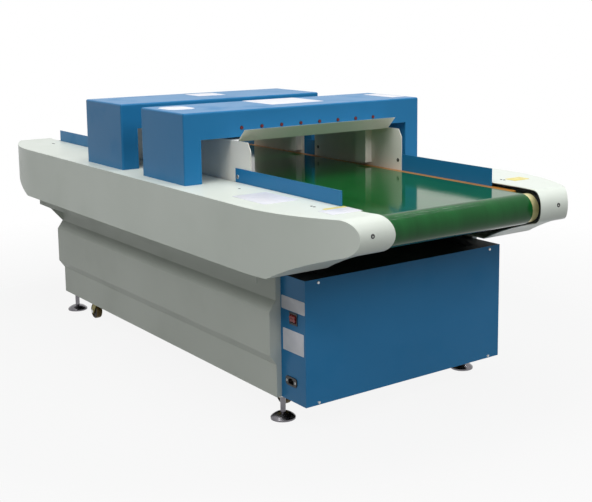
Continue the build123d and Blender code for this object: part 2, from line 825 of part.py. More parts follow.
def bow_plan(outer_inset, inner_inset):
    """Plan of one housing, drawn in X and Y: both walls bow inwards to the noses."""
    tip = housing_end + bow_run_out
    outer = housing_outer_width / 2 - outer_inset
    inner = web_outer - inner_inset
    nose_outer = nose_outer_width / 2 - outer_inset
    nose_inner = nose_inner_width / 2 - inner_inset
    for end in (-1, 1):
        with BuildLine() as half:
            Line((0, outer), (end * bow_start_x, outer))
            TangentArc((end * bow_start_x, outer), (end * tip, nose_outer), tangent=(end, 0))
            Line((end * tip, nose_outer), (end * tip, nose_inner))
            TangentArc((end * bow_inner_start_x, inner), (end * tip, nose_inner), tangent=(end, 0))
            Line((end * bow_inner_start_x, inner), (0, inner))
            Line((0, inner), (0, outer))
        make_face(half.edges())


with BuildPart() as housing_hollow:
    with BuildSketch(Plane.XZ):
        side_outline()
        offset(amount=-sheet, kind=Kind.INTERSECTION, mode=Mode.REPLACE)
    extrude(amount=housing_outer_width / 2, both=True)
    with BuildSketch(Plane.XY):
        bow_plan(sheet, web_outer - nose_inner_width / 2 + sheet)
    extrude(amount=housing_top, mode=Mode.INTERSECT)

with BuildPart() as side_housing_far:
    with BuildSketch(Plane.XZ):
        side_outline()
    extrude(amount=housing_outer_width / 2, both=True)
    with BuildSketch(Plane.XY):
        bow_plan(0, 0)
    extrude(amount=housing_top, mode=Mode.INTERSECT)
    add(housing_hollow.part, mode=Mode.SUBTRACT)
finish(side_housing_far, "side_housing_far")

with BuildPart() as side_housing_near:
    mirror(side_housing_far.part, about=Plane.XZ)
finish(side_housing_near, "side_housing_near")

# Detector heads: a sheet portal over each tunnel, an upper sensor in its roof and a lower one under the bed
lamp_z = head_soffit + lamp_height_above_opening
front_face = front_head_x + head_depth / 2
heads = (
    ("front", front_head_x, leg_inner, head_end),
    ("rear", rear_head_x, rear_far_leg_inner, rear_far_end),
)
for name, head_x, far_inner, far_end in heads:
    x_low = head_x - head_depth / 2
    x_high = head_x + head_depth / 2
    with BuildPart() as head_hollow:
        box_between(
            (x_low + sheet, sheet - head_end, head_bottom),
            (x_high - sheet, far_end - sheet, head_top - sheet),
        )
        rounded = head_hollow.edges().group_by(Axis.Z)[-1] + head_hollow.edges().filter_by(Axis.Z)
        fillet(rounded, radius=head_edge_radius - sheet)
        box_between(
            (x_low, -leg_inner - sheet, head_bottom),
            (x_high, far_inner + sheet, head_soffit + sheet),
            mode=Mode.SUBTRACT,
        )

    with BuildPart() as head_casing:
        box_between((x_low, -head_end, head_bottom), (x_high, far_end, head_top))
        rounded = head_casing.edges().group_by(Axis.Z)[-1] + head_casing.edges().filter_by(Axis.Z)
        fillet(rounded, radius=head_edge_radius)
        box_between((x_low, -leg_inner, head_bottom), (x_high, far_inner, head_soffit), mode=Mode.SUBTRACT)
        add(head_hollow.part, mode=Mode.SUBTRACT)
        if name == "front":
            with BuildSketch(Plane.YZ.offset(front_face)):
                with Locations((0, lamp_z)):
                    with GridLocations(lamp_pitch, 0, lamp_count, 1):
                        Circle(lamp_stem_diameter / 2 + running_clearance)
            extrude(amount=-sheet, mode=Mode.SUBTRACT)
    finish(head_casing, f"head_casing_{name}")

    with BuildPart() as upper_sensor:
        box_between(
            (x_low + sensor_side_gap, -leg_inner + sensor_side_gap, head_soffit + sheet),
            (x_high - sensor_side_gap, far_inner - sensor_side_gap, head_soffit + sheet + sensor_height),
        )
        fillet(upper_sensor.edges().filter_by(Axis.Z), radius=sensor_side_gap / 3)
    finish(upper_sensor, f"upper_sensor_{name}")

    with BuildPart() as lower_sensor:
        box_between(
            (x_low + sensor_side_gap, sensor_side_gap - flange_edge, bed_bottom - lower_sensor_height),
            (x_high - sensor_side_gap, flange_edge - sensor_side_gap, bed_bottom),
        )
        fillet(lower_sensor.edges().filter_by(Axis.Z), radius=sensor_side_gap / 3)
    finish(lower_sensor, f"lower_sensor_{name}")

with BuildPart() as indicator_lamps:
    with BuildSketch(Plane.YZ.offset(front_face)):
        with Locations((0, lamp_z)):
            with GridLocations(lamp_pitch, 0, lamp_count, 1):
                Circle(lamp_diameter / 2)
    extrude(amount=lamp_proud, taper=15)
    with BuildSketch(Plane.YZ.offset(front_face)):
        with Locations((0, lamp_z)):
            with GridLocations(lamp_pitch, 0, lamp_count, 1):
                Circle(lamp_stem_diameter / 2)
    extrude(amount=-2 * sheet)
finish(indicator_lamps, "indicator_lamps")

# Tunnel liners: a sheet folded over each belt passage, with a hood turned up at its outer end
front_liner = (front_head_x - head_depth / 2 - tunnel_inner_overhang, front_face + tunnel_overhang)
rear_liner = (rear_head_x - head_depth / 2 - tunnel_overhang, front_liner[0] - tunnel_plate_gap)
liners = {"front": (front_liner[0], front_liner[1], 1), "rear": (rear_liner[1], rear_liner[0], -1)}
for name, (inner_x, outer_x, facing) in liners.items():
    hood_x = outer_x - facing * hood_setback
    with BuildPart() as tunnel_liner:
        with BuildSketch(Plane.XZ.offset(plate_inner)):
            with BuildLine():
                Polyline(
                    (inner_x, bed_top),
                    (outer_x, bed_top),
                    (outer_x, tunnel_top - plate_chamfer_z),
                    (outer_x - facing * plate_chamfer_x, tunnel_top),
                    (inner_x, tunnel_top),
                    close=True,
                )
            make_face()
        extrude(amount=sheet)
        mirror(about=Plane.XZ)
        with BuildSketch(Plane.XZ):
            with BuildLine():
                Polyline(
                    (inner_x, tunnel_top - sheet),
                    (hood_x, tunnel_top - sheet),
                    (hood_x + facing * hood_rise, tunnel_top - sheet + hood_rise),
                    (hood_x + facing * (hood_rise - sheet), tunnel_top + hood_rise - sheet),
                    (hood_x - facing * sheet / 2, tunnel_top),
                    (inner_x, tunnel_top),
                    close=True,
                )
            make_face()
        extrude(amount=plate_inner, both=True)
    finish(tunnel_liner, f"tunnel_liner_{name}")

with BuildPart() as tunnel_blocks:
    for head_x in (front_head_x, rear_head_x):
        block_x = head_x + side_block_length
        box_between(
            (block_x - side_block_length / 2, plate_inner - side_block_depth, bed_top + side_block_foot),
            (block_x + side_block_length / 2, plate_inner, tunnel_top - sheet),
        )
    mirror(about=Plane.XZ)
finish(tunnel_blocks, "tunnel_blocks")

# Guide strips along the belt, bolted to the outside of the liner plates
guide_sides = (
    ("guides_near", -guide_outer, -plate_outer, guide_setback_near),
    ("guides_far", plate_outer, guide_outer, guide_setback_far),
)
for name, y_low, y_high, guide_setback in guide_sides:
    guide_runs = (
        (front_liner[1] - guide_overlap, housing_end - guide_setback),
        (rear_liner[1] - guide_overlap / 2, front_liner[0] + guide_overlap / 2),
        (guide_setback_rear - housing_end, rear_liner[0] + guide_overlap),
    )
    with BuildPart() as guides:
        for x_low, x_high in guide_runs:
            box_between((x_low, y_low, bed_top), (x_high, y_high, bed_top + guide_height))
    finish(guides, name)
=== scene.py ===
import json
from math import cos, pi, radians, sin

import bpy
from mathutils import Matrix, Vector


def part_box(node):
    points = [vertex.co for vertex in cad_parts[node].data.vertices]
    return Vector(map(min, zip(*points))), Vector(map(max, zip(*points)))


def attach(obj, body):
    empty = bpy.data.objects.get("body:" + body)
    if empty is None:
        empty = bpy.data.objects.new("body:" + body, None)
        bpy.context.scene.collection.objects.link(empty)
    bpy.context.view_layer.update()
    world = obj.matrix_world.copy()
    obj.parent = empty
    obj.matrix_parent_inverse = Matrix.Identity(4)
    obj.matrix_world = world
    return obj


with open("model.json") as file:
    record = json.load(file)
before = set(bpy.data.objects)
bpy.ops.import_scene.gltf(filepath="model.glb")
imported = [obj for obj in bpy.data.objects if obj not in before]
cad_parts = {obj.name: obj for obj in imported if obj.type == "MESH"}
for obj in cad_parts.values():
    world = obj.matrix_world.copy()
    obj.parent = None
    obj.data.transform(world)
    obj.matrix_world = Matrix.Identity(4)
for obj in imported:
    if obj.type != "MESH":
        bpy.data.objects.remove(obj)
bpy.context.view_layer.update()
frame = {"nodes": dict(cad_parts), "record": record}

# The photograph's frame and the camera that took it, in pixels, metres and degrees
PHOTO_WIDTH = 592
PHOTO_HEIGHT = 502
FOCAL_PIXELS = 1063.4
AXIS_PIXEL = (341.6, 173.8)
CAMERA_PLACE = Vector((3.183, -2.0076, 1.1721))
CAMERA_AZIMUTH = radians(52.76)
CAMERA_ELEVATION = radians(8.73)
CAMERA_ROLL = radians(-0.308)
SENSOR_WIDTH = 36.0

# Places read from the frame
_, FRONT_HEAD_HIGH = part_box("head_casing_front")
HOUSING_LOW, HOUSING_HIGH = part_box("side_housing_far")
COVER_LOW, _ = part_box("front_end_cover")
PANEL_LOW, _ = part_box("side_panel_far")
_, GUIDE_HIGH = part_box("guides_far")
LINER_LOW, LINER_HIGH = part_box("tunnel_liner_front")
REAR_LINER_LOW, REAR_LINER_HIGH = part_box("tunnel_liner_rear")
LAMPS_LOW, LAMPS_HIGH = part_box("indicator_lamps")
INLET_LOW, INLET_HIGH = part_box("power_inlet")
HEAD_FACE = FRONT_HEAD_HIGH.x
HEAD_TOP = FRONT_HEAD_HIGH.z
HOUSING_TOP = HOUSING_HIGH.z
COVER_FACE = COVER_LOW.y


def srgb(red, green, blue):
    """A screen colour of 0 to 255 as the linear colour a shader takes."""
    linear = []
    for value in (red, green, blue):
        share = value / 255
        linear.append(share / 12.92 if share <= 0.04045 else ((share + 0.055) / 1.055) ** 2.4)
    return (*linear, 1.0)


class Field:
    """A shader socket that takes part in arithmetic: each step adds a Math node."""

    def __init__(self, surface, socket):
        self.surface = surface
        self.socket = socket

    def beside(self, output):
        """Another output of the same node."""
        return Field(self.surface, self.socket.node.outputs[output])

    def math(self, operation, first, second):
        return self.surface.add("ShaderNodeMath", {"operation": operation}, {0: first, 1: second})

    def __add__(self, other):
        return self.math("ADD", self, other)

    def __radd__(self, other):
        return self.math("ADD", other, self)

    def __sub__(self, other):
        return self.math("SUBTRACT", self, other)

    def __rsub__(self, other):
        return self.math("SUBTRACT", other, self)

    def __mul__(self, other):
        return self.math("MULTIPLY", self, other)

    def __rmul__(self, other):
        return self.math("MULTIPLY", other, self)

    def __abs__(self):
        return self.math("ABSOLUTE", self, 0.0)


class Surface:
    """A node material while it is written."""

    def __init__(self, name, tree=None, **constants):
        if tree is None:
            self.material = bpy.data.materials.new(name)
            self.material.use_nodes = True
            tree = self.material.node_tree
        self.tree = tree
        self.shader = tree.nodes.get("Principled BSDF")
        for socket, value in constants.items():
            self.shader.inputs[socket.replace("_", " ")].default_value = value

    def add(self, kind, settings=None, inputs=None, output=0):
        """Put in any node, with its settings first and then its sockets' values or links."""
        node = self.tree.nodes.new(kind)
        for name, value in (settings or {}).items():
            setattr(node, name, value)
        for socket, value in (inputs or {}).items():
            self.link(node.inputs[socket], value)
        return Field(self, node.outputs[output])

    def link(self, socket, value):
        if isinstance(value, Field):
            self.tree.links.new(value.socket, socket)
        else:
            socket.default_value = value

    def feed(self, socket, value):
        self.link(self.shader.inputs[socket], value)

    def place(self, output="Object"):
        return self.add("ShaderNodeTexCoord", output=output)

    def stretched(self, scale):
        """Object coordinates with each axis scaled by itself."""
        return self.add("ShaderNodeMapping", None, {"Vector": self.place(), "Scale": scale})

    def noise(self, scale, detail, vector=None):
        place = vector or self.place()
        return self.add("ShaderNodeTexNoise", None, {"Vector": place, "Scale": scale, "Detail": detail})

    def blend(self, factor, first, second):
        """One colour over another."""
        return self.add(
            "ShaderNodeMix",
            {"data_type": "RGBA"},
            {"Factor": factor, 6: first, 7: second},
            output=2,
        )

    def ramp(self, factor, low, high):
        """0 below low, 1 above high, straight between."""
        return self.add(
            "ShaderNodeMapRange", None, {"Value": factor, "From Min": low, "From Max": high}
        )

    def axes(self, source=None):
        """The three parts of a coordinate."""
        parts = self.add("ShaderNodeSeparateXYZ", None, {"Vector": source or self.place()})
        return [parts.beside(axis) for axis in "XYZ"]

    def bump(self, height, strength, distance):
        """Fine relief: strength runs from 0 to 1, distance is the relief's depth in metres."""
        relief = self.add(
            "ShaderNodeBump", None, {"Height": height, "Strength": strength, "Distance": distance}
        )
        self.feed("Normal", relief)


# Finishes. A brush says how fine its lines are along X, Y and Z
PAINT_COAT = 0.05
BRUSHED_SHEET = (4.0, 220.0, 4.0)
BRUSHED_ALONG_ROLLER = (60.0, 4.0, 60.0)
TURNED_STEM = (8.0, 8.0, 120.0)


def powder_coat(name, colour, shade, roughness, peel=0.12):
    """Baked paint: a fine orange peel, a little drift in tone and smudges that dull the gloss."""
    paint = Surface(name, Specular_IOR_Level=0.16, Coat_Roughness=0.25)
    drift = paint.ramp(paint.noise(2.6, 4.0), 0.3, 0.72)
    grime = paint.ramp(paint.noise(9.0, 6.0), 0.52, 0.8)
    paint.feed("Base Color", paint.blend(drift * 0.6 + grime * 0.25, colour, shade))
    paint.feed("Roughness", roughness + grime * 0.14 + drift * 0.05)
    paint.feed("Coat Weight", PAINT_COAT - grime * (0.6 * PAINT_COAT))
    paint.bump(paint.noise(420.0, 2.0) + paint.noise(90.0, 2.0) * 0.6, peel, 0.0003)
    return paint.material


def belt_cover(name):
    """Smooth green belt: long faint tracks, fine weave under the skin and rubbed patches."""
    belt = Surface(name, Specular_IOR_Level=0.18)
    tracks = belt.ramp(belt.noise(1.0, 5.0, belt.stretched((1.2, 26.0, 1.0))), 0.35, 0.7)
    rubbed = belt.ramp(belt.noise(5.0, 6.0), 0.5, 0.78)
    green = belt.blend(tracks, srgb(13, 80, 33), srgb(20, 92, 40))
    belt.feed("Base Color", belt.blend(rubbed * 0.3, green, srgb(30, 102, 50)))
    belt.feed("Roughness", 0.07 + rubbed * 0.06 + tracks * 0.03)
    weave = belt.add(
        "ShaderNodeTexWave", {"wave_type": "BANDS"}, {"Vector": belt.place(), "Scale": 160.0}
    )
    belt.bump(weave * 0.2 + belt.noise(60.0, 2.0), 0.05, 0.0003)
    return belt.material


def laminate_board(name):
    """Orange-brown pressed board with fine layers and a polished running face."""
    board = Surface(name, Specular_IOR_Level=0.45)
    grain = board.noise(6.0, 6.0, board.stretched((1.5, 40.0, 160.0)))
    layers = board.add(
        "ShaderNodeTexWave", {"bands_direction": "Z"}, {"Vector": board.place(), "Scale": 260.0}
    )
    tone = board.ramp(grain, 0.3, 0.75) * 0.7 + layers * 0.3
    board.feed("Base Color", board.blend(tone, srgb(150, 92, 30), srgb(206, 148, 66)))
    board.feed("Roughness", 0.3 + tone * 0.15)
    board.bump(grain, 0.1, 0.0004)
    return board.material


def plated_steel(name, colour, shade, roughness, metallic=1.0, brush=BRUSHED_SHEET):
    """Plated metal: brush lines in one direction, cloudy plating and small stains."""
    metal = Surface(name)
    lines = metal.noise(3.0, 4.0, metal.stretched(brush))
    cloud = metal.ramp(metal.noise(22.0, 5.0), 0.35, 0.75)
    stain = metal.ramp(metal.noise(70.0, 4.0), 0.62, 0.8)
    metal.feed("Base Color", metal.blend(cloud * 0.8, colour, shade))
    metal.feed("Roughness", roughness + lines * 0.1 + stain * 0.2)
    metal.feed("Metallic", metallic - stain * (0.3 * metallic))
    metal.bump(lines, 0.08, 0.0002)
    return metal.material


def moulded_plastic(name, colour, shade, roughness, grain=0.2):
    """Injection-moulded plastic with spark grain and handling marks."""
    plastic = Surface(name, Specular_IOR_Level=0.5)
    marks = plastic.ramp(plastic.noise(60.0, 5.0), 0.45, 0.75)
    plastic.feed("Base Color", plastic.blend(marks * 0.7, colour, shade))
    plastic.feed("Roughness", roughness + marks * 0.12)
    plastic.bump(plastic.noise(1800.0, 2.0), grain, 0.0002)
    return plastic.material


def cast_metal(name, colour, shade):
    """Sand-cast metal under a thin coat."""
    casting = Surface(name, Specular_IOR_Level=0.4)
    sand = casting.noise(260.0, 5.0)
    cloud = casting.ramp(casting.noise(18.0, 4.0), 0.3, 0.7)
    casting.feed("Base Color", casting.blend(cloud, colour, shade))
    casting.feed("Roughness", 0.5 + sand * 0.2)
    casting.feed("Metallic", 0.5 - cloud * 0.2)
    casting.bump(sand, 0.25, 0.0004)
    return casting.material


def caster_rubber(name):
    """Olive-brown moulded tread, with darker sides where the wheel faces across the machine."""
    tread = Surface(name, Specular_IOR_Level=0.35)
    across = abs(tread.axes(tread.place("Normal"))[1])
    side = tread.ramp(across, 0.7, 0.85)
    scuff = tread.ramp(tread.noise(80.0, 5.0), 0.45, 0.7)
    worn = tread.blend(scuff * 0.6, srgb(112, 92, 46), srgb(84, 70, 40))
    tread.feed("Base Color", tread.blend(side, worn, srgb(46, 44, 40)))
    tread.feed("Roughness", 0.55 + scuff * 0.2)
    tread.bump(tread.noise(500.0, 3.0), 0.2, 0.0003)
    return tread.material


def lamp_lens(name):
    """Dark red lens of an unlit lamp, a little cloudy."""
    lens = Surface(name, Specular_IOR_Level=0.6)
    cloud = lens.ramp(lens.noise(300.0, 2.0), 0.35, 0.7)
    lens.feed("Base Color", lens.blend(cloud, srgb(86, 14, 20), srgb(128, 26, 34)))
    lens.feed("Roughness", 0.18 + cloud * 0.1)
    lens.bump(lens.noise(900.0, 2.0), 0.05, 0.0002)
    return lens.material


def printed_film(name, colour, shade):
    """Thin label film: faint mottling under a satin skin."""
    film = Surface(name, Specular_IOR_Level=0.5)
    mottle = film.ramp(film.noise(40.0, 4.0), 0.35, 0.75)
    film.feed("Base Color", film.blend(mottle, colour, shade))
    film.feed("Roughness", 0.32 + mottle * 0.12)
    film.bump(film.noise(700.0, 2.0), 0.05, 0.0002)
    return film.material


finishes = {
    "blue_paint": powder_coat("blue_paint", srgb(38, 121, 174), srgb(33, 112, 162), roughness=0.32),
    "grey_panel_paint": powder_coat(
        "grey_panel_paint", srgb(206, 211, 203), srgb(196, 201, 193), roughness=0.46, peel=0.2
    ),
    "housing_paint": powder_coat(
        "housing_paint", srgb(222, 228, 220), srgb(212, 219, 210), roughness=0.36, peel=0.14
    ),
    "tunnel_paint": powder_coat("tunnel_paint", srgb(240, 237, 229), srgb(230, 227, 218), roughness=0.42),
    "dark_paint": powder_coat("dark_paint", srgb(44, 46, 49), srgb(34, 36, 39), roughness=0.5, peel=0.2),
    "belt_green": belt_cover("belt_green"),
    "bed_board": laminate_board("bed_board"),
    "roller_zinc": plated_steel(
        "roller_zinc",
        srgb(216, 208, 158),
        srgb(196, 184, 128),
        roughness=0.34,
        metallic=0.45,
        brush=BRUSHED_ALONG_ROLLER,
    ),
    "cast_bearing": cast_metal("cast_bearing", srgb(62, 66, 70), srgb(48, 52, 56)),
    "bright_steel": plated_steel("bright_steel", srgb(196, 197, 196), srgb(168, 170, 168), roughness=0.3),
    "foot_chrome": plated_steel(
        "foot_chrome", srgb(128, 126, 130), srgb(88, 87, 92), roughness=0.2, brush=TURNED_STEM
    ),
    "caster_tread": caster_rubber("caster_tread"),
    "sensor_aluminium": cast_metal("sensor_aluminium", srgb(170, 172, 174), srgb(150, 153, 156)),
    "black_plastic": moulded_plastic("black_plastic", srgb(26, 26, 27), srgb(36, 36, 37), roughness=0.42),
    "rocker_red": moulded_plastic(
        "rocker_red", srgb(136, 24, 24), srgb(150, 36, 34), roughness=0.24, grain=0.05
    ),
    "lamp_red": lamp_lens("lamp_red"),
}
caster_zinc = plated_steel("caster_zinc", srgb(128, 120, 70), srgb(96, 91, 56), roughness=0.38)
white_film = printed_film("white_film", srgb(226, 226, 233), srgb(216, 217, 226))
yellow_film = printed_film("yellow_film", srgb(226, 212, 120), srgb(216, 200, 104))

# The record's slot that each finish of a new piece stands under
SLOT_OF = {finish.name: slot for slot, finish in finishes.items()}
SLOT_OF[white_film.name] = "tunnel_paint"
SLOT_OF[yellow_film.name] = "tunnel_paint"

for subpart in frame["record"]["subparts"]:
    node = frame["nodes"][subpart["node"]]
    node.data.materials.clear()
    stained = subpart["node"].startswith(("caster_fork", "caster_plates"))
    node.data.materials.append(caster_zinc if stained else finishes[subpart["material_slot"]])


# Modelling helpers. A face looks along an axis when this much of its normal lies along it
SQUARE_ON = 0.9
SMOOTH_ANGLE = radians(35.0)


def start_fresh():
    """Leave edit mode and deselect everything, so that operators act on the new piece alone."""
    if bpy.context.object and bpy.context.object.mode != "OBJECT":
        bpy.ops.object.mode_set(mode="OBJECT")
    bpy.ops.object.select_all(action="DESELECT")


def select_faces(piece, wanted):
    """In edit mode, select the faces whose centre and normal the test accepts."""
    bpy.ops.mesh.select_mode(type="FACE")
    bpy.ops.mesh.select_all(action="DESELECT")
    bpy.ops.object.mode_set(mode="OBJECT")
    for face in piece.data.polygons:
        face.select = wanted(face.center, face.normal)
    bpy.ops.object.mode_set(mode="EDIT")


def pull_out(shift):
    """Extrude the selected faces by a shift."""
    bpy.ops.mesh.extrude_region_move(TRANSFORM_OT_translate={"value": shift})


def settle(piece, name, material):
    """Put a finished piece's place into its mesh, name it, paint it and let it ride on the frame."""
    start_fresh()
    piece.select_set(True)
    bpy.context.view_layer.objects.active = piece
    bpy.ops.object.transform_apply(location=True, rotation=True, scale=True)
    bpy.ops.object.shade_smooth_by_angle(angle=SMOOTH_ANGLE)
    piece.name = name
    piece.data.name = name
    piece.data.materials.append(material)
    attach(piece, "frame")


# A piece is modelled lying on the XY plane and then turned so that its +Z faces this way
FACING_UP = (0.0, 0.0, 0.0)
FACING_NEAR = (pi / 2, 0.0, 0.0)
FACING_FAR = (-pi / 2, 0.0, 0.0)
FACING_FRONT = (0.0, pi / 2, 0.0)
FACING_REAR = (0.0, -pi / 2, 0.0)

# A label plate's sheet, and the rim that falls away round its raised middle
PLATE_SHEET = 0.0006
PLATE_RIM = 0.8 * PLATE_SHEET
PLATE_RISE = 0.4 * PLATE_SHEET
PLATE_CORNER_STEPS = 5

# A screw head's roundness, how much of its height is dome, and its socket's sides
SCREW_STEPS = 24
SCREW_DOME = 0.45
SCREW_DOME_STEPS = 4
SOCKET_SIDES = 6


def plate(name, centre, width, height, facing, material, corner):
    """A thin blank plate with round corners and a softened rim. Its back lies on what carries it."""
    start_fresh()
    bpy.ops.mesh.primitive_plane_add(size=1.0)
    piece = bpy.context.object
    piece.scale = (width, height, 1.0)
    bpy.ops.object.transform_apply(location=False, rotation=False, scale=True)
    bpy.ops.object.mode_set(mode="EDIT")
    bpy.ops.mesh.select_all(action="SELECT")
    bpy.ops.mesh.bevel(offset=corner, segments=PLATE_CORNER_STEPS, affect="VERTICES")
    bpy.ops.mesh.select_all(action="SELECT")
    pull_out((0.0, 0.0, PLATE_SHEET))
    select_faces(piece, lambda middle, normal: normal.z > SQUARE_ON)
    bpy.ops.mesh.inset(thickness=PLATE_RIM, depth=0.0)
    bpy.ops.transform.translate(value=(0.0, 0.0, PLATE_RISE))
    bpy.ops.mesh.select_all(action="SELECT")
    bpy.ops.mesh.normals_make_consistent(inside=False)
    bpy.ops.object.mode_set(mode="OBJECT")
    piece.rotation_euler = facing
    piece.location = centre
    settle(piece, name, material)


def screw_master(radius, height, recess):
    """One pan-head screw, to be half let into a face: a domed head with a hexagon socket."""
    start_fresh()
    bpy.ops.mesh.primitive_cylinder_add(
        vertices=SCREW_STEPS, radius=radius, depth=height, location=(0.0, 0.0, height / 2)
    )
    piece = bpy.context.object
    bpy.ops.object.mode_set(mode="EDIT")
    select_faces(piece, lambda middle, normal: normal.z > SQUARE_ON)
    bpy.ops.mesh.bevel(offset=height * SCREW_DOME, segments=SCREW_DOME_STEPS, affect="EDGES")
    bpy.ops.object.mode_set(mode="OBJECT")
    start_fresh()
    bpy.ops.mesh.primitive_cylinder_add(
        vertices=SOCKET_SIDES, radius=recess, depth=height, location=(0.0, 0.0, height)
    )
    socket = bpy.context.object
    start_fresh()
    piece.select_set(True)
    bpy.context.view_layer.objects.active = piece
    bore = piece.modifiers.new("socket", "BOOLEAN")
    bore.operation = "DIFFERENCE"
    bore.object = socket
    bpy.ops.object.modifier_apply(modifier=bore.name)
    bpy.data.objects.remove(socket)
    return piece


def copies(master, name, places, facing, material):
    """Copy a master to each place, each copy with its own mesh, and join them into one piece."""
    made = []
    for place in places:
        twin = master.copy()
        twin.data = master.data.copy()
        bpy.context.scene.collection.objects.link(twin)
        twin.rotation_euler = facing
        twin.location = place
        made.append(twin)
    start_fresh()
    for twin in made:
        twin.select_set(True)
    bpy.context.view_layer.objects.active = made[0]
    bpy.ops.object.join()
    settle(made[0], name, material)


# Blank label plates: name, middle, width, height, facing, film and corner radius
LABELS = (
    ("front_head_plate", (0.196, 0.014, HEAD_TOP), 0.186, 0.212, FACING_UP, white_film, 0.004),
    ("front_head_badge", (0.200, -0.394, HEAD_TOP), 0.112, 0.096, FACING_UP, white_film, 0.034),
    ("front_head_far_plate", (0.241, 0.420, HEAD_TOP), 0.160, 0.062, FACING_UP, white_film, 0.004),
    ("rear_head_plate", (-0.226, -0.043, HEAD_TOP), 0.104, 0.112, FACING_UP, white_film, 0.004),
    ("near_housing_plate", (0.700, -0.392, HOUSING_TOP), 0.168, 0.116, FACING_UP, white_film, 0.004),
    ("far_housing_plate", (0.600, 0.450, HOUSING_TOP), 0.200, 0.110, FACING_UP, white_film, 0.004),
    ("near_nose_plate", (0.988, -0.344, HOUSING_TOP), 0.066, 0.100, FACING_UP, white_film, 0.003),
    ("near_nose_band", (0.945, -0.330, HOUSING_TOP), 0.016, 0.072, FACING_UP, yellow_film, 0.002),
    ("far_nose_plate", (0.907, 0.410, HOUSING_TOP), 0.046, 0.066, FACING_UP, yellow_film, 0.003),
    ("switch_plate", (0.8105, COVER_FACE, 0.3605), 0.114, 0.038, FACING_NEAR, white_film, 0.003),
    ("data_plate", (0.8105, COVER_FACE, 0.254), 0.102, 0.064, FACING_NEAR, white_film, 0.003),
)
for label in LABELS:
    plate(*label)

# Angle rails under the housings, and the gussets that carry their rear ends from the base
RAIL_SHEET = 0.003
RAIL_DEPTH = 0.031
RAIL_SHELF = 0.026
RAIL_Y = 0.483
RAIL_FRONT_NEAR = 0.790
RAIL_FRONT_FAR = 0.600
RAIL_REAR = PANEL_LOW.x
RAIL_TOP = HOUSING_LOW.z
GUSSET_ROOT_Y = 0.394
GUSSET_ROOT_DEPTH = 0.106
GUSSET_STEPS = ((0.441, 0.053), (RAIL_Y, RAIL_DEPTH))


def start_box(low, high):
    """A box between two corners, left in edit mode with its place in its mesh."""
    start_fresh()
    bpy.ops.mesh.primitive_cube_add(size=1.0)
    piece = bpy.context.object
    piece.location = [(a + b) / 2 for a, b in zip(low, high)]
    piece.scale = [b - a for a, b in zip(low, high)]
    bpy.ops.object.transform_apply(location=True, rotation=False, scale=True)
    bpy.ops.object.mode_set(mode="EDIT")
    return piece


def angle_rail(name, side, front):
    """A length of angle: its heel is drawn first, then a leg down and a shelf inwards."""
    low, high = sorted((side * RAIL_Y, side * (RAIL_Y - RAIL_SHEET)))
    heel = RAIL_TOP - RAIL_SHEET
    piece = start_box((RAIL_REAR, low, heel), (front, high, RAIL_TOP))
    select_faces(piece, lambda middle, normal: normal.z < -SQUARE_ON)
    pull_out((0.0, 0.0, RAIL_SHEET - RAIL_DEPTH))
    select_faces(piece, lambda middle, normal: side * normal.y < -SQUARE_ON and middle.z > heel)
    pull_out((0.0, -side * RAIL_SHELF, 0.0))
    settle(piece, name, finishes["grey_panel_paint"])


def rear_gusset(name, side):
    """A plate that tapers in two steps from the base out to the rail."""
    reach = side * GUSSET_ROOT_Y
    depth = GUSSET_ROOT_DEPTH
    low, high = sorted((reach, reach - side * RAIL_SHEET))
    piece = start_box((RAIL_REAR, low, RAIL_TOP - depth), (RAIL_REAR + RAIL_SHEET, high, RAIL_TOP))
    select_faces(piece, lambda middle, normal: side * normal.y > SQUARE_ON)
    for step_y, step_depth in GUSSET_STEPS:
        pull_out((0.0, side * step_y - reach, 0.0))
        bpy.ops.transform.resize(
            value=(1.0, 1.0, step_depth / depth), center_override=(RAIL_REAR, reach, RAIL_TOP)
        )
        reach = side * step_y
        depth = step_depth
    settle(piece, name, finishes["grey_panel_paint"])


for side, name, front in ((-1, "near", RAIL_FRONT_NEAR), (1, "far", RAIL_FRONT_FAR)):
    angle_rail(f"housing_rail_{name}", side, front)
    rear_gusset(f"rear_gusset_{name}", side)

# Screws on the noses, let in a little further because the noses are round there
NOSE_SCREW_LET_IN = 0.0006
NOSE_SCREW_X = HOUSING_HIGH.x - NOSE_SCREW_LET_IN
NOSE_SCREW_Y = 0.349
NOSE_SCREW_Z = 0.606
nose_screw = screw_master(radius=0.0065, height=0.003, recess=0.0032)
for end, facing, name in ((1, FACING_FRONT, "front"), (-1, FACING_REAR, "rear")):
    spots = [(end * NOSE_SCREW_X, side * NOSE_SCREW_Y, NOSE_SCREW_Z) for side in (-1, 1)]
    copies(nose_screw, f"nose_screws_{name}", spots, facing, finishes["black_plastic"])
bpy.data.objects.remove(nose_screw)

# Screws along the housing tops
TOP_SCREW_Y = 0.363
TOP_SCREW_X = (-0.897, -0.884, -0.517, 0.517, 0.884, 0.897)
TOP_SCREW_SPOTS = [(x, side * TOP_SCREW_Y, HOUSING_TOP) for x in TOP_SCREW_X for side in (-1, 1)]
top_screw = screw_master(radius=0.004, height=0.0016, recess=0.002)
copies(top_screw, "housing_top_screws", TOP_SCREW_SPOTS, FACING_UP, finishes["cast_bearing"])
bpy.data.objects.remove(top_screw)

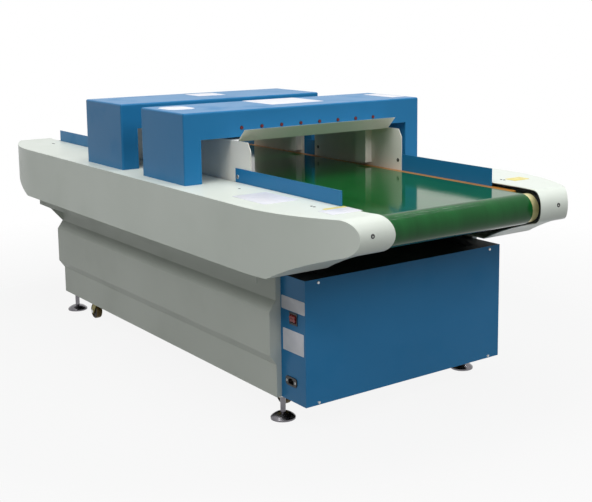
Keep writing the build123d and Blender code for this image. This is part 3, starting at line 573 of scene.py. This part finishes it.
# Bolts that hold the guide strips to the liners
GUIDE_BOLT_DROP = 0.026
GUIDE_BOLT_OUTER = 0.073
GUIDE_BOLT_INNER = 0.02
GUIDE_BOLT_Z = GUIDE_HIGH.z - GUIDE_BOLT_DROP
GUIDE_BOLT_X = (
    LINER_HIGH.x - GUIDE_BOLT_OUTER,
    LINER_LOW.x + GUIDE_BOLT_INNER,
    REAR_LINER_HIGH.x - GUIDE_BOLT_INNER,
    REAR_LINER_LOW.x + GUIDE_BOLT_OUTER,
)
guide_bolt = screw_master(radius=0.007, height=0.004, recess=0.003)
for side, facing, name in ((-1, FACING_NEAR, "near"), (1, FACING_FAR, "far")):
    spots = [(x, side * GUIDE_HIGH.y, GUIDE_BOLT_Z) for x in GUIDE_BOLT_X]
    copies(guide_bolt, f"guide_bolts_{name}", spots, facing, finishes["bright_steel"])
bpy.data.objects.remove(guide_bolt)

# Bolts on the inner faces of the tunnel liners
LINER_SHEET = 0.002
LINER_BOLT_FRONT = 0.018
LINER_BOLT_INNER = 0.022
LINER_BOLT_Y = LINER_HIGH.y - LINER_SHEET
LINER_BOLT_Z = 0.672
LINER_BOLT_X = (
    LINER_HIGH.x - LINER_BOLT_FRONT,
    LINER_LOW.x + LINER_BOLT_INNER,
    REAR_LINER_HIGH.x - LINER_BOLT_INNER,
)
liner_bolt = screw_master(radius=0.006, height=0.003, recess=0.003)
for side, facing, name in ((-1, FACING_FAR, "near"), (1, FACING_NEAR, "far")):
    spots = [(x, side * LINER_BOLT_Y, LINER_BOLT_Z) for x in LINER_BOLT_X]
    copies(liner_bolt, f"liner_bolts_{name}", spots, facing, finishes["black_plastic"])
bpy.data.objects.remove(liner_bolt)

# Screws at both ends of the mains inlet
INLET_MIDDLE = (INLET_LOW + INLET_HIGH) / 2
INLET_SCREW_REACH = 0.0205
INLET_SPOTS = [
    (INLET_MIDDLE.x + end * INLET_SCREW_REACH, INLET_LOW.y, INLET_MIDDLE.z) for end in (-1, 1)
]
inlet_screw = screw_master(radius=0.0035, height=0.0018, recess=0.0018)
copies(inlet_screw, "inlet_screws", INLET_SPOTS, FACING_NEAR, finishes["bright_steel"])
bpy.data.objects.remove(inlet_screw)

# Rims round the indicator lamps
LAMP_COUNT = 8
LAMP_DIAMETER = 0.010
LAMP_SPAN = LAMPS_HIGH.y - LAMPS_LOW.y - LAMP_DIAMETER
LAMP_Z = (LAMPS_LOW.z + LAMPS_HIGH.z) / 2
LAMP_SPOTS = [
    (HEAD_FACE, LAMP_SPAN * (step / (LAMP_COUNT - 1) - 0.5), LAMP_Z) for step in range(LAMP_COUNT)
]
RIM_RADIUS = 0.0058
RIM_BEAD = 0.0007
RIM_STEPS = 28
RIM_BEAD_STEPS = 10


def rim_master():
    """One lamp's rim on the XY plane: a round bead with its back pressed flat, to seat on the head."""
    start_fresh()
    bpy.ops.mesh.primitive_torus_add(
        major_radius=RIM_RADIUS,
        minor_radius=RIM_BEAD,
        major_segments=RIM_STEPS,
        minor_segments=RIM_BEAD_STEPS,
    )
    piece = bpy.context.object
    bpy.ops.object.mode_set(mode="EDIT")
    select_faces(piece, lambda middle, normal: middle.z < 0.0)
    bpy.ops.transform.resize(value=(1.0, 1.0, 0.0), center_override=(0.0, 0.0, 0.0))
    bpy.ops.object.mode_set(mode="OBJECT")
    return piece


lamp_rim = rim_master()
copies(lamp_rim, "lamp_rims", LAMP_SPOTS, FACING_FRONT, finishes["black_plastic"])
bpy.data.objects.remove(lamp_rim)

# Studio: a floor and a surround that show white, a wide softbox overhead, smaller ones high in
# front and at the near side, and two thin tubes on the far side
FLOOR_RADIUS = 9.0
FLOOR_SIDES = 64
FLOOR_GREY = srgb(160, 161, 161)
FLOOR_KEEP = 1.2
FLOOR_FADE = 2.6
FLOOR_GLOW = 0.9
WHITE = (1.0, 1.0, 1.0, 1.0)
ROOM_TINT = (0.95, 1.0, 0.97, 1.0)
ROOM_LIGHT = 0.14
# Each softbox: name, place, aim, width, height and watts
SOFTBOXES = (
    ("overhead_softbox", (0.3, -0.2, 4.2), (0.1, 0.0, 0.5), 3.4, 3.0, 104.0),
    ("side_softbox", (1.7, -3.5, 4.2), (0.1, 0.0, 0.5), 2.6, 1.0, 70.0),
    ("front_softbox", (3.8, 0.3, 3.1), (0.6, 0.0, 0.6), 2.2, 1.8, 66.0),
)
# The tubes point straight down and draw thin streaks along the belt's bend: name, X and Z
TUBES = (("rear_tube", -0.26, 3.24), ("front_tube", 0.94, 3.58))
TUBE_Y = 2.5
TUBE_WIDTH = 0.014
TUBE_LENGTH = 0.8
TUBE_WATTS = 3.0


def seen_rays(surface):
    """1 for rays that show the surround itself: from the camera, in reflections and through glass."""
    path = surface.add("ShaderNodeLightPath")
    direct = path.beside("Is Camera Ray")
    mirrored = path.beside("Is Glossy Ray")
    through = path.beside("Is Transmission Ray")
    return path.math("MINIMUM", direct + mirrored + through, 1.0)


def floor_finish():
    """Matt floor, grey for the light it gives back and near white where it is seen.

    It keeps a faint shadow and fades into the surround further out.
    """
    floor = Surface("floor_white", Roughness=0.8, Specular_IOR_Level=0.1)
    floor.feed("Base Color", FLOOR_GREY)
    matt = Field(floor, floor.shader.outputs[0])
    glow = floor.add("ShaderNodeEmission", None, {"Color": WHITE, "Strength": 1.0})
    lit = floor.add("ShaderNodeMixShader", None, {0: seen_rays(floor) * FLOOR_GLOW, 1: matt, 2: glow})
    x, y, _ = floor.axes()
    distance = floor.add("ShaderNodeMath", {"operation": "SQRT"}, {0: x * x + y * y})
    clear = floor.add("ShaderNodeBsdfTransparent")
    fade = floor.ramp(distance, FLOOR_KEEP, FLOOR_FADE)
    mixed = floor.add("ShaderNodeMixShader", None, {0: fade, 1: lit, 2: clear})
    floor.link(floor.tree.nodes["Material Output"].inputs[0], mixed)
    return floor.material


start_fresh()
bpy.ops.mesh.primitive_circle_add(vertices=FLOOR_SIDES, radius=FLOOR_RADIUS, fill_type="NGON")
studio_floor = bpy.context.object
studio_floor.name = "studio_floor"
studio_floor.data.materials.append(floor_finish())


def softbox(name, place, aim, width, height, watts):
    """A rectangular lamp at its place, turned to its aim."""
    lamp = bpy.data.lights.new(name, "AREA")
    lamp.shape = "RECTANGLE"
    lamp.size = width
    lamp.size_y = height
    lamp.energy = watts
    holder = bpy.data.objects.new(name, lamp)
    bpy.context.scene.collection.objects.link(holder)
    holder.location = place
    holder.rotation_euler = (Vector(aim) - Vector(place)).to_track_quat("-Z", "Y").to_euler()


for box in SOFTBOXES:
    softbox(*box)
for name, tube_x, tube_z in TUBES:
    softbox(name, (tube_x, TUBE_Y, tube_z), (tube_x, TUBE_Y, 0.0), TUBE_WIDTH, TUBE_LENGTH, TUBE_WATTS)

world = bpy.data.worlds.new("studio")
bpy.context.scene.world = world
world.use_nodes = True
surround = Surface("studio", world.node_tree)
dim = surround.add("ShaderNodeBackground", None, {"Color": ROOM_TINT, "Strength": ROOM_LIGHT})
white = surround.add("ShaderNodeBackground", None, {"Color": WHITE, "Strength": 1.0})
sky = surround.add("ShaderNodeMixShader", None, {0: seen_rays(surround), 1: dim, 2: white})
surround.link(surround.tree.nodes["World Output"].inputs[0], sky)

# Camera
forward = Vector((
    -sin(CAMERA_AZIMUTH) * cos(CAMERA_ELEVATION),
    cos(CAMERA_AZIMUTH) * cos(CAMERA_ELEVATION),
    -sin(CAMERA_ELEVATION),
))
level_right = forward.cross(Vector((0.0, 0.0, 1.0))).normalized()
level_up = level_right.cross(forward)
right = level_right * cos(CAMERA_ROLL) + level_up * sin(CAMERA_ROLL)
up = level_up * cos(CAMERA_ROLL) - level_right * sin(CAMERA_ROLL)
lens = bpy.data.cameras.new("photo_camera")
lens.sensor_fit = "HORIZONTAL"
lens.sensor_width = SENSOR_WIDTH
lens.lens = FOCAL_PIXELS / PHOTO_WIDTH * SENSOR_WIDTH
lens.shift_x = (PHOTO_WIDTH / 2 - AXIS_PIXEL[0]) / PHOTO_WIDTH
lens.shift_y = (AXIS_PIXEL[1] - PHOTO_HEIGHT / 2) / PHOTO_WIDTH
camera = bpy.data.objects.new("photo_camera", lens)
bpy.context.scene.collection.objects.link(camera)
turn = Matrix((right, up, -forward)).transposed().to_4x4()
camera.matrix_world = Matrix.Translation(CAMERA_PLACE) @ turn
bpy.context.scene.camera = camera
bpy.context.scene.view_settings.view_transform = "Standard"
